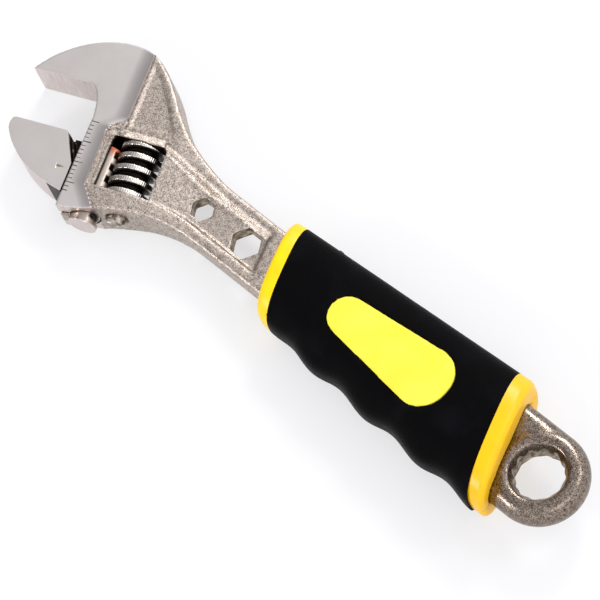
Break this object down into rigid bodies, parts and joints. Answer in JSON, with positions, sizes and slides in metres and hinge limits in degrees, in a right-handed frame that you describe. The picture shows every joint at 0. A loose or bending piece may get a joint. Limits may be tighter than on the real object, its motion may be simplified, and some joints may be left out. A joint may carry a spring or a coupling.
{
  "type": "adjustable wrench",
  "caption": "Adjustable wrench with a worm-driven sliding jaw, a twelve point ring end, hexagon holes in the handle and a two-part moulded grip.",
  "frame": {"origin": "centre of the twelve point hole, half way through the ring", "axes": "+X along the handle towards the jaws, +Y across the handle towards the movable jaw, +Z out of the face with the opening marks"},
  "size_m": [0.1605, 0.0399, 0.0172],
  "materials": {
    "forged_steel": "nickel plated over a sand-blasted forging, ground on the jaw faces",
    "ground_steel": "satin ground",
    "worm_steel": "bright, knurled on the crests",
    "pin_steel": "plain turned steel",
    "spring_steel": "drawn wire",
    "yellow_plastic": "moulded, satin gloss",
    "black_rubber": "soft, finely grained",
    "lemon_rubber": "soft matte"
  },
  "bodies": {
    "frame": {"body": "forged_steel", "worm_pin": "pin_steel", "worm_spring": "spring_steel", "grip_core_top": "yellow_plastic", "grip_core_bottom": "yellow_plastic", "grip_sleeve": "black_rubber", "inlay_top": "lemon_rubber", "inlay_bottom": "lemon_rubber"},
    "jaw": {"movable_jaw": "ground_steel"},
    "adjuster": {"worm": "worm_steel"}
  },
  "joints": [
    {"name": "jaw_slide", "type": "slide", "parent": "frame", "child": "jaw", "axis": [-0.3746, 0.9272, 0], "range_m": [-0.0119, 0.007]},
    {"name": "worm_turn", "type": "hinge", "parent": "frame", "child": "adjuster", "pos_m": [0.1186, -0.00275, 0], "axis": [-0.3746, 0.9272, 0], "range_deg": [-870, 1479]}
  ],
  "couplings": [
    {"joint": "worm_turn", "follows": "jaw_slide", "rad_per_m": -2166.6}
  ]
}
